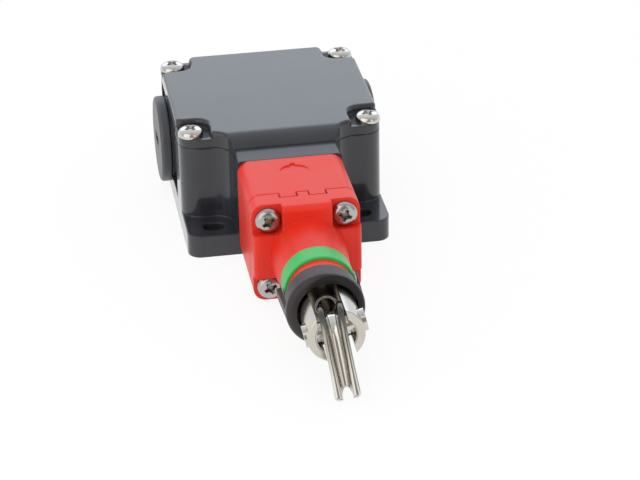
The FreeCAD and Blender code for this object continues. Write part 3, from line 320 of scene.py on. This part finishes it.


# Painted shade: the cross recesses of the lid screws take this darker finish.
lid_recess_shade = mottled_finish("lid_recess_shaded_nickel", dark=(0.36, 0.33, 0.28), light=(0.62, 0.58, 0.52),
                             roughness=(0.3, 0.5), metallic=1.0,
                             grain=0.6 * MM, height=0.002 * MM, edge=0.1 * MM)
screws = bmesh.new()
for (side, end), twist in LID_SCREW_TWISTS.items():
    seat = Vector((side * LID_SCREW_SIDE, end * LID_SCREW_END, SEAT_HEIGHT))
    pan_head(screws, seat, Matrix.Identity(4), twist, LID_SCREW_LENGTH)
lid_screws = new_piece("lid_screw_heads", screws, nickel, lid_recess_shade)
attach(lid_screws, "housing")
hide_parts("lid_screws")

# Blanking plugs: black glass-filled polyamide discs with a coin slot, moulded with a spark-eroded grain.
# They are screwed into the two side entries against their seals.
sheen = {"Specular IOR Level": 0.65, "Specular Tint": (0.96, 0.97, 1.0, 1.0)}
polyamide = mottled_finish("black_polyamide", dark=(0.052, 0.054, 0.06), light=(0.064, 0.066, 0.072),
                           roughness=(0.34, 0.46), sockets=sheen,
                           grain=0.5 * MM, detail=4.0, height=0.015 * MM, edge=0.8 * MM)
dress(polyamide, "conduit_plug_left", "conduit_plug_right")

# Head: two mouldings of satin red glass-filled polyamide, keyed to each other by tabs.
# They close over the return spring and are screwed to the neck.
glow = {"Specular IOR Level": 0.4, "Specular Tint": (1.0, 0.95, 0.85, 1.0), "Subsurface Weight": 0.15,
        "Subsurface Radius": (1.0, 0.25, 0.12), "Subsurface Scale": 0.8 * MM}
red = new_finish("red_polyamide", (0.70, 0.023, 0.0095), 0.38, sockets=glow)
flow = mottle(red, grain=18 * MM)
vary_colour(red, flow, (0.67, 0.0205, 0.0075), (0.73, 0.0255, 0.0115))
vary_roughness(red, flow, 0.34, 0.44)
spark = mottle(red, grain=0.7 * MM, detail=4.0)
raise_grain(red, spark, height=0.01 * MM, edge=0.6 * MM)
dress(red, "head_rear", "head_front")

# Head screws: four long M4 pan heads, nickel-plated like those of the lid, but with their plate
# and cross recesses painted darker as shade. They pass through both mouldings and the gasket into the neck.
HEAD_SCREW_SIDE, HEAD_SCREW_TOP, HEAD_SCREW_LOW = 12.3 * MM, 30.3 * MM, 6.6 * MM
HEAD_SCREW_SEAT, HEAD_SCREW_LENGTH = -81.9 * MM, 40 * MM
HEAD_SCREW_TWISTS = {(-1, HEAD_SCREW_TOP): 30, (1, HEAD_SCREW_TOP): 70,
                     (-1, HEAD_SCREW_LOW): 28, (1, HEAD_SCREW_LOW): 40}
TO_FRONT = Matrix.Rotation(math.radians(90), 4, "X")
# Painted shade: the heads take a darker copy of the lid screws' plate, and their cross recesses a darker
# finish still.
shaded_head_nickel = mottled_finish("shaded_nickel_plate", dark=(0.43, 0.415, 0.4), light=(0.49, 0.475, 0.46),
                             roughness=(0.16, 0.24), metallic=1.0,
                             grain=2.5 * MM, detail=4.0, height=0.001 * MM, edge=0.15 * MM)
head_recess_shade = mottled_finish("head_recess_shaded_nickel", dark=(0.16, 0.145, 0.13), light=(0.36, 0.335, 0.31),
                               roughness=(0.3, 0.5), metallic=1.0,
                               grain=0.6 * MM, height=0.002 * MM, edge=0.1 * MM)
screws = bmesh.new()
for (side, height), twist in HEAD_SCREW_TWISTS.items():
    seat = Vector((side * HEAD_SCREW_SIDE, HEAD_SCREW_SEAT, height))
    pan_head(screws, seat, TO_FRONT, twist, HEAD_SCREW_LENGTH)
head_screws = new_piece("head_screw_heads", screws, shaded_head_nickel, head_recess_shade)
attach(head_screws, "housing")
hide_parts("head_screws")

# Position ring: a satin green plastic band, moulded in one piece and pressed on the snout.
# It shows whether the rope has the right tension, against the collar's pointers.
green = mottled_finish("green_plastic", dark=(0.024, 0.41, 0.078), light=(0.032, 0.47, 0.102),
                       roughness=(0.3, 0.42), grain=5 * MM, height=0.01 * MM, edge=0.2 * MM)
dress(green, "green_ring")

# Guide bush: oil-filled sintered bronze, pressed into the snout.
# The pull rod slides and turns in it.
bronze = mottled_finish("sintered_bronze", dark=(0.42, 0.25, 0.1), light=(0.6, 0.4, 0.18),
                        roughness=(0.34, 0.55), metallic=1.0,
                        grain=0.3 * MM, detail=5.0, height=0.01 * MM, edge=0.1 * MM)
dress(bronze, "guide_bush")

# Return spring: drawn steel wire, coiled with closed ends between the cup and the bush.
# A pull on the rope presses it together, as its rear end goes with the cup and its front end stays;
# here the coil is built at rest and goes with no body.
ROD_HEIGHT = 18 * MM
WIRE, WIRE_SIDES, COILS, CLOSED_COILS, COIL_STEPS = 1.3 * MM, 12, 8, 1, 48
front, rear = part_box("return_spring")
coil_radius = (rear[0] - front[0] - WIRE) / 2
closed_length = CLOSED_COILS * WIRE
open_length = rear[1] - front[1] - WIRE * (1 + 2 * CLOSED_COILS)
bm = bmesh.new()
wire_end = Matrix.Translation((coil_radius, front[1] + WIRE / 2, ROD_HEIGHT))
bmesh.ops.create_circle(bm, segments=WIRE_SIDES, radius=WIRE / 2, matrix=wire_end)
wound = bm.verts[:] + bm.edges[:]
for coils, length in ((CLOSED_COILS, closed_length), (COILS - 2 * CLOSED_COILS, open_length),
                      (CLOSED_COILS, closed_length)):
    steps = coils * COIL_STEPS
    wound = bmesh.ops.spin(bm, geom=wound, cent=(0, 0, ROD_HEIGHT), axis=ALONG_ROD,
                           dvec=(0, length / steps, 0), angle=2 * math.pi * coils,
                           steps=steps)["geom_last"]
bmesh.ops.holes_fill(bm, edges=[edge for edge in bm.edges if edge.is_boundary], sides=0)
bmesh.ops.recalc_face_normals(bm, faces=bm.faces[:])
spring_wire = mottled_finish("drawn_spring_wire", dark=(0.35, 0.35, 0.36), light=(0.45, 0.45, 0.46),
                             roughness=(0.26, 0.4), metallic=1.0,
                             grain=0.4 * MM, height=0.003 * MM, edge=0.05 * MM)
spring = new_piece("return_spring_coil", bm, spring_wire)
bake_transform(spring)
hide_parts("return_spring")

# Pull mechanism in the head: a turned steel cup that the spring bears on, a turned steel plunger,
# and the plated lock nut that holds the cup on the rod.
steel = mottled_finish("turned_steel", dark=(0.46, 0.46, 0.46), light=(0.58, 0.58, 0.58),
                       roughness=(0.24, 0.38), metallic=1.0,
                       grain=0.6 * MM, stretch=(0.15, 1.0, 0.15), height=0.004 * MM, edge=0.1 * MM)
dress(steel, "spring_cup", "transmission_plunger")
dress(nickel, "lock_nut")

# Pull rod: turned steel, nickel-plated, its end bored and slotted to a fork.
# The plate is painted a darker brown down in the slot and the bore.
SLOT_REACH, ROD_PLAIN, ROD_DARK = 8.7 * MM, -129 * MM, -122 * MM
SLOT_BROWN = (0.34, 0.3, 0.24)


def within_rod(finish, reach, full=0.95):
    """A mask within a reach of the rod's axis, at its full strength inside a share of that reach."""
    from_axis = work_out(finish, "SUBTRACT", place_on(finish), (0, 0, ROD_HEIGHT))
    across = work_out(finish, "MULTIPLY", from_axis, (1, 0, 1))
    radius = work_out(finish, "LENGTH", across, result="Value")
    return rescale(finish.node_tree, radius, reach, full * reach)


def lay_colour(finish, mask, colour):
    """Lays a colour over a finish by a mask."""
    tree = finish.node_tree
    mix = tree.nodes.new("ShaderNodeMix")
    mix.data_type = "RGBA"
    share, untouched, overlay, result = mix.inputs[0], mix.inputs[6], mix.inputs[7], mix.outputs[2]
    overlay.default_value = (*colour, 1.0)
    base = shader(finish).inputs["Base Color"]
    tree.links.new(mask, share)
    tree.links.new(base.links[0].from_socket, untouched)
    tree.links.new(result, base)


plated_rod = mottled_finish("turned_nickel_plate", dark=(0.585, 0.55, 0.49), light=(0.645, 0.61, 0.55),
                            roughness=(0.15, 0.23), metallic=1.0,
                            grain=0.5 * MM, stretch=(0.1, 1.0, 0.1), height=0.0008 * MM, edge=0.15 * MM)
# Darker brown inside the slot and the bore, fading out towards the fork's open end.
slot_darkening = combine(plated_rod, "MULTIPLY", fade(plated_rod, ALONG_ROD, ROD_PLAIN, ROD_DARK),
              within_rod(plated_rod, SLOT_REACH))
lay_colour(plated_rod, slot_darkening, SLOT_BROWN)
dress(plated_rod, "pull_rod")

# Countersink: the rim of bare steel that a drill has left round the hole in the floor of the fork's slot,
# painted much lighter than steel as a highlight. It is cut in the rod itself.
RIM_INSIDE, RIM_OUTSIDE, RIM_STEPS = 2.8 * MM, 3.5 * MM, 48
RIM_BACK, RIM_FRONT = -118.85 * MM, -119.03 * MM
bm = bmesh.new()
corners = [bm.verts.new((radius, place, ROD_HEIGHT))
           for radius, place in ((RIM_INSIDE, RIM_BACK), (RIM_OUTSIDE, RIM_FRONT), (RIM_OUTSIDE, RIM_BACK))]
sides = [bm.edges.new(pair) for pair in zip(corners, corners[1:] + corners[:1])]
bmesh.ops.spin(bm, geom=corners + sides, cent=(0, 0, ROD_HEIGHT), axis=ALONG_ROD, angle=2 * math.pi,
               steps=RIM_STEPS, use_merge=True)
bmesh.ops.recalc_face_normals(bm, faces=bm.faces[:])
# Painted highlight: the rim's colour is near white, far lighter than the plate round it.
highlight_rim = mottled_finish("highlight_rim_steel", dark=(0.88, 0.86, 0.83), light=(0.95, 0.93, 0.9),
                          roughness=(0.25, 0.35), metallic=1.0,
                          grain=0.4 * MM, height=0.002 * MM, edge=0.05 * MM)
countersink = new_piece("fork_countersink", bm, highlight_rim)
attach(countersink, "fork")

# Fork pin: a plain nickel-plated pin, pushed through both cheeks and riveted over.
# The thimble swings on it.
dress(nickel, "fork_pin")

# Indicator collar: a satin black plastic ring with a rolled and duller front lip, snapped on the fork.
# Its two pointers reach back over the green ring.
BAND_SHINE, LIP_SHINE, LIP_START, LIP_FULL = 0.55, 0.22, -121.6 * MM, -121.85 * MM
LIP_WAY = (-0.13, 1, 0)
black = mottled_finish("satin_black_plastic", dark=(0.0135, 0.012, 0.013), light=(0.0185, 0.017, 0.018),
                       roughness=(0.32, 0.46), sockets={"Specular Tint": (1.0, 0.86, 0.88, 1.0)},
                       grain=0.6 * MM, detail=4.0, height=0.01 * MM, edge=0.12 * MM)
vary(black, "Specular IOR Level", fade(black, LIP_WAY, LIP_START, LIP_FULL), BAND_SHINE, LIP_SHINE)
dress(black, "indicator_collar")

# Thimble: steel strip rolled to a channel with curled lips, bent to a teardrop round the pin
# and nickel-plated. The rolling leaves faint lines along its legs, and the two ends are cut off round
# where they meet. The groove, and the lips up in the fork, are painted darker as shade.
GROOVE_FLOOR, GROOVE_HALF, LIP_ROUND = 7.4 * MM, 1.9 * MM, 0.9 * MM
LIP_CURL, CURL_ANGLE, LIP_FLARE, GROOVE_PINCH = 1.4 * MM, 45, 0.3 * MM, 0.4 * MM
STRIP, LEG_ANGLE, LEG_END, LEG_GAP = 0.8 * MM, math.radians(26.5), 19.7 * MM, 0.3 * MM
BEND_STEPS, LEG_STEPS, STEP_LENGTH, STRAIGHT_STEPS = 26, 7, 3 * MM, 2
QUARTER, FLOOR_STEP, LIP_STEP = 90, 10, 15
CORNER_CUT, CORNER_LEANS = 0.6 * MM, (30, 60)
WELD, SNAP = 1e-6, 1e-7
PIN_PLACE, PIN_TO_BEND = -132.6 * MM, 2.6 * MM
FORK_TILT, DROOP, SKEW = 12.5, 43, 5
EDGE_ROUND, EDGE_STEPS, EDGE_ANGLE = 0.2 * MM, 2, math.radians(50)
SHADE_REACH, SHADE_SAMPLES, LIPS_LIT, LIPS_SHADED = 2.5 * MM, 8, -14 * MM, 4 * MM
GROOVE_SHADE, LIP_SHADE = (0.28, 0.26, 0.235), (0.1, 0.09, 0.075)


def arc(radius, first, last, step):
    """The sine and cosine legs of an arc's points, by angles in degrees."""
    for angle in range(first, last + 1, step):
        yield radius * math.sin(math.radians(angle)), radius * math.cos(math.radians(angle))


shoulder = GROOVE_FLOOR + GROOVE_HALF
lip_top = shoulder + LIP_ROUND
half_section = [(rise, shoulder - fall) for rise, fall in arc(GROOVE_HALF, 0, QUARTER, FLOOR_STEP)]
half_section += [(GROOVE_HALF + LIP_ROUND - fall, shoulder + rise)
                 for rise, fall in arc(LIP_ROUND, LIP_STEP, QUARTER, LIP_STEP)]
half_section += [(GROOVE_HALF + LIP_ROUND + rise, lip_top - LIP_CURL + fall)
                 for rise, fall in arc(LIP_CURL, LIP_STEP, CURL_ANGLE, LIP_STEP)]
bm = bmesh.new()
across = [(-x, y) for x, y in reversed(half_section[1:])] + half_section
section = [bm.verts.new((x, y, 0.0)) for x, y in across]
chain = [bm.edges.new(pair) for pair in zip(section, section[1:])]
bent = bmesh.ops.spin(bm, geom=section + chain, cent=(0, 0, 0), axis=(1, 0, 0),
                      angle=math.pi / 2 + LEG_ANGLE, steps=BEND_STEPS)
ends = only(bmesh.types.BMEdge, bent["geom_last"])
along_leg = Vector((0, -math.cos(LEG_ANGLE), -math.sin(LEG_ANGLE))) * STEP_LENGTH
wall, edge_half = GROOVE_HALF, half_section[-1][0]
for step in range(1, LEG_STEPS + 1):
    drawn = bmesh.ops.extrude_edge_only(bm, edges=ends)["geom"]
    moved = only(bmesh.types.BMVert, drawn)
    ends = [edge for edge in only(bmesh.types.BMEdge, drawn) if all(vert in moved for vert in edge.verts)]
    bmesh.ops.translate(bm, vec=along_leg, verts=moved)
    shaped = max(step - STRAIGHT_STEPS, 0) / (LEG_STEPS - STRAIGHT_STEPS)
    new_wall = GROOVE_HALF - GROOVE_PINCH * shaped
    new_edge = half_section[-1][0] + LIP_FLARE * shaped
    for vert in moved:
        side = abs(vert.co.x)
        if side <= wall:
            side *= new_wall / wall
        else:
            side = new_wall + (side - wall) * (new_edge - new_wall) / (edge_half - wall)
        vert.co.x = math.copysign(side, vert.co.x)
    wall, edge_half = new_wall, new_edge
cuts = [(Vector((0, -LEG_END, 0)), Vector((0, -1, 0)))]
for side in (-1, 1):
    corner = Vector((side * edge_half, -LEG_END, 0))
    for lean in CORNER_LEANS:
        slope = Vector((side * math.sin(math.radians(lean)), -math.cos(math.radians(lean)), 0))
        cuts.append((corner - slope * CORNER_CUT, slope))
for place, facing in cuts:
    bmesh.ops.bisect_plane(bm, geom=all_of(bm), dist=SNAP, plane_co=place, plane_no=facing, clear_outer=True)
bmesh.ops.recalc_face_normals(bm, faces=bm.faces[:])
if sum(face.normal.dot(face.calc_center_median()) for face in bm.faces) < 0:
    bmesh.ops.reverse_faces(bm, faces=bm.faces[:])
bmesh.ops.solidify(bm, geom=bm.faces[:], thickness=STRIP)
leg_verts = [vert for vert in bm.verts if vert.co.y < -STEP_LENGTH]
leg_edges = [edge for edge in bm.edges if all(vert.co.y < -STEP_LENGTH for vert in edge.verts)]
leg_faces = [face for face in bm.faces if all(vert.co.y < -STEP_LENGTH for vert in face.verts)]
bmesh.ops.bisect_plane(bm, geom=leg_verts + leg_edges + leg_faces, dist=SNAP, plane_co=(0, 0, LEG_GAP),
                       plane_no=(0, 0, -1), clear_outer=True)
open_edges = [edge for edge in bm.edges if edge.is_boundary and all(vert.co.y < 0 for vert in edge.verts)]
bmesh.ops.holes_fill(bm, edges=open_edges, sides=0)
bmesh.ops.mirror(bm, geom=all_of(bm), axis="Z", merge_dist=WELD)
bmesh.ops.remove_doubles(bm, verts=bm.verts[:], dist=WELD)
bmesh.ops.recalc_face_normals(bm, faces=bm.faces[:])
hang = Matrix.Translation((0, PIN_PLACE, ROD_HEIGHT))
for angle, axis in ((-FORK_TILT, "Y"), (DROOP, "X"), (-SKEW, "Z")):
    hang = hang @ Matrix.Rotation(math.radians(angle), 4, axis)
hang = hang @ Matrix.Translation((0, -PIN_TO_BEND, 0))
bmesh.ops.transform(bm, matrix=hang, verts=bm.verts[:])


def closed_in(finish, reach):
    """A mask where the piece closes in on itself within a reach."""
    tree = finish.node_tree
    openness = tree.nodes.new("ShaderNodeAmbientOcclusion")
    openness.samples = SHADE_SAMPLES
    openness.only_local = True
    openness.inputs["Distance"].default_value = reach
    return rescale(tree, openness.outputs["AO"], low=1.0, high=0.0)


def on_lips(finish, hang, lip, untouched, dark, start=0.9):
    """A mask for painted shade on a hung strip, from an unshaded to a shaded place along it.

    It lies past the lips' half width, and sets in at a share of that width.
    """
    tree = finish.node_tree
    laid = tree.nodes.new("ShaderNodeMapping")
    laid.vector_type = "TEXTURE"
    laid.inputs["Location"].default_value = hang.to_translation()
    laid.inputs["Rotation"].default_value = hang.to_euler()
    tree.links.new(place_on(finish), laid.inputs["Vector"])
    folded = work_out(finish, "ABSOLUTE", laid.outputs["Vector"])
    aside = work_out(finish, "DOT_PRODUCT", folded, (1, 0, 0), "Value")
    along = work_out(finish, "DOT_PRODUCT", laid.outputs["Vector"], (0, 1, 0), "Value")
    past_lip = rescale(tree, aside, start * lip, lip)
    return combine(finish, "MULTIPLY", past_lip, rescale(tree, along, untouched, dark))


plated_strip = mottled_finish("rolled_nickel_plate", dark=(0.67, 0.645, 0.6), light=(0.77, 0.745, 0.7),
                              roughness=(0.1, 0.18), metallic=1.0, grain=0.35 * MM,
                              stretch=(1.0, 0.04, 1.0), lean=-DROOP, height=0.001 * MM, edge=0.15 * MM)
# Painted shade: the groove is darkened where the strip closes in on itself.
lay_colour(plated_strip, closed_in(plated_strip, SHADE_REACH), GROOVE_SHADE)
# Painted shade: the lips are darkened towards the bend round the pin, up in the fork.
lay_colour(plated_strip, on_lips(plated_strip, hang, GROOVE_HALF, LIPS_LIT, LIPS_SHADED), LIP_SHADE)
thimble = new_piece("rope_thimble_strip", bm, plated_strip, smooth=35.0)
rounding = thimble.modifiers.new("rolled_edges", "BEVEL")
rounding.width = EDGE_ROUND
rounding.segments = EDGE_STEPS
rounding.limit_method = "ANGLE"
rounding.angle_limit = EDGE_ANGLE
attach(thimble, "rope_thimble")
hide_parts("thimble")

# Studio: a white table that runs back to a lit white sweep, with soft lights overhead, at the front left
# and in a strip at the front right. The room on the camera's side is dim,
# so the bright metal has something dark to reflect.
TABLE_HALF, TABLE_GLOW = 3.0, 0.9
ROOM_FRONT, ROOM_BACK = (0.28, 0.26, 0.24, 1.0), (0.84, 0.89, 0.98, 1.0)
ROOM_MIDDLE, MIDDLE_STOP = (0.56, 0.55, 0.55, 1.0), 0.3
FRONT_BEARING, BACK_BEARING = -0.9, 0.85
ROOM_LIGHT, MIRRORED_LIGHT, SEEN_LIGHT = 0.8, 1.1, 1.0
WHITE, WARM, COOL = (1.0, 1.0, 1.0), (1.0, 0.98, 0.95), (0.86, 0.92, 1.0)
table = new_finish("white_table", (0.9, 0.9, 0.9), 0.8)
tree = table.node_tree
rays = tree.nodes.new("ShaderNodeLightPath")
seen = combine(table, "MAXIMUM", rays.outputs["Is Camera Ray"], rays.outputs["Is Glossy Ray"])
white = tree.nodes.new("ShaderNodeEmission")
mix = tree.nodes.new("ShaderNodeMixShader")
tree.links.new(rescale(tree, seen, high=TABLE_GLOW), mix.inputs["Fac"])
tree.links.new(shader(table).outputs["BSDF"], mix.inputs[1])
tree.links.new(white.outputs["Emission"], mix.inputs[2])
tree.links.new(mix.outputs["Shader"], tree.nodes["Material Output"].inputs["Surface"])
bm = bmesh.new()
bmesh.ops.create_grid(bm, x_segments=1, y_segments=1, size=TABLE_HALF)
new_piece("table", bm, table)

world = bpy.data.worlds.new("studio")
bpy.context.scene.world = world
world.use_nodes = True
tree = world.node_tree
rays = tree.nodes.new("ShaderNodeLightPath")
way = tree.nodes.new("ShaderNodeTexCoord")
parts = tree.nodes.new("ShaderNodeSeparateXYZ")
room = tree.nodes.new("ShaderNodeValToRGB")
room.color_ramp.elements[0].color = ROOM_FRONT
room.color_ramp.elements[1].color = ROOM_BACK
room.color_ramp.elements.new(MIDDLE_STOP).color = ROOM_MIDDLE
tint = tree.nodes.new("ShaderNodeMix")
tint.data_type = "RGBA"
share, plain, mirrored, result = tint.inputs[0], tint.inputs[6], tint.inputs[7], tint.outputs[2]
plain.default_value = (*WHITE, 1.0)
backdrop = tree.nodes["Background"]
tree.links.new(way.outputs["Generated"], parts.inputs["Vector"])
tree.links.new(rescale(tree, parts.outputs["Y"], FRONT_BEARING, BACK_BEARING), room.inputs["Fac"])
tree.links.new(rays.outputs["Is Glossy Ray"], share)
tree.links.new(room.outputs["Color"], mirrored)
tree.links.new(result, backdrop.inputs["Color"])
level = rescale(tree, rays.outputs["Is Glossy Ray"], low=ROOM_LIGHT, high=MIRRORED_LIGHT)
shown = rescale(tree, rays.outputs["Is Camera Ray"], high=SEEN_LIGHT)
tree.links.new(level, shown.node.inputs["To Min"])
tree.links.new(shown, backdrop.inputs["Strength"])


def softbox(name, place, aim, width, height, power, colour, mirrored):
    """A rectangular lamp in watts. mirrored says whether shiny surfaces show it."""
    lamp = bpy.data.lights.new(name, "AREA")
    lamp.shape = "RECTANGLE"
    lamp.size = width
    lamp.size_y = height
    lamp.energy = power
    lamp.color = colour
    light = bpy.data.objects.new(name, lamp)
    light.location = place
    light.rotation_euler = (Vector(aim) - Vector(place)).to_track_quat("-Z", "Y").to_euler()
    light.visible_camera = False
    light.visible_glossy = mirrored
    bpy.context.scene.collection.objects.link(light)


softbox("sweep_light", place=(0.1, 0.95, 0.55), aim=(0, 0, 0.03),
        width=1.4, height=0.5, power=1.8, colour=COOL, mirrored=True)
softbox("overhead_softbox", place=(-0.1, -0.1, 0.8), aim=(0, -0.03, 0),
        width=0.6, height=0.6, power=1.1, colour=WHITE, mirrored=False)
softbox("front_softbox", place=(-0.6, -0.65, 0.42), aim=(0, -0.05, 0.02),
        width=1.0, height=1.15, power=3.4, colour=WARM, mirrored=True)
softbox("strip_softbox", place=(0.5, -0.9, 0.3), aim=(0, -0.13, 0.01),
        width=0.35, height=0.8, power=0.7, colour=WARM, mirrored=True)

# Camera: a long lens at the photograph's angle, above and a little to the left of the pull rod.
# Its place was fitted to the screws and the housing's edges.
camera = bpy.data.objects.new("camera", bpy.data.cameras.new("camera"))
camera.data.lens = 134.4
camera.location = (-0.10130, -0.74897, 0.37711)
camera.rotation_euler = [math.radians(angle) for angle in (62.209, 1.013, -9.534)]
bpy.context.scene.collection.objects.link(camera)
bpy.context.scene.camera = camera
bpy.context.scene.view_settings.view_transform = "Standard"
